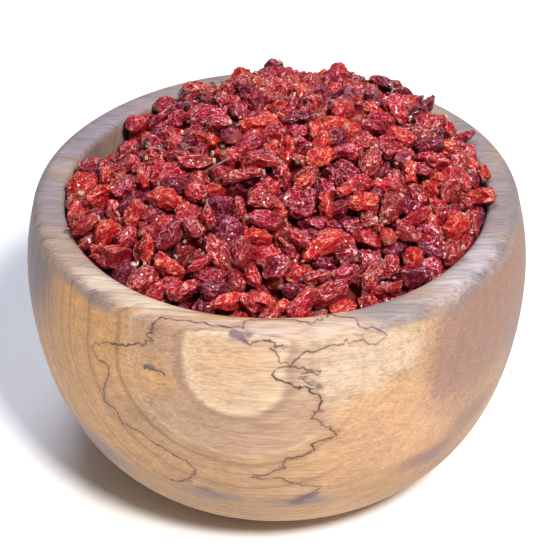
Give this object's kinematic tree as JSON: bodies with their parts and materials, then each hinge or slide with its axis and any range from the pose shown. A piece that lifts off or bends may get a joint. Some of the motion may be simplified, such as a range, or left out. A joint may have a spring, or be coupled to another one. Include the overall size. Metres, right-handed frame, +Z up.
{
  "type": "bowl of dried barberries",
  "caption": "Thick-walled round bowl turned from one block of figured wood, heaped above its rim with small dried red barberries.",
  "frame": {"origin": "centre of the bowl's foot, on the surface that it stands on", "axes": "+Z up along the bowl's axis, +Y towards the back as the bowl is seen in the picture, +X to the right"},
  "size_m": [0.12, 0.12, 0.0888],
  "materials": {
    "bowl": "smooth turned wood, lightly oiled",
    "barberries": "wrinkled dry skin, satin to glossy"
  },
  "bodies": {
    "root": {"bowl": "bowl", "barberries": "barberries"}
  },
  "joints": []
}
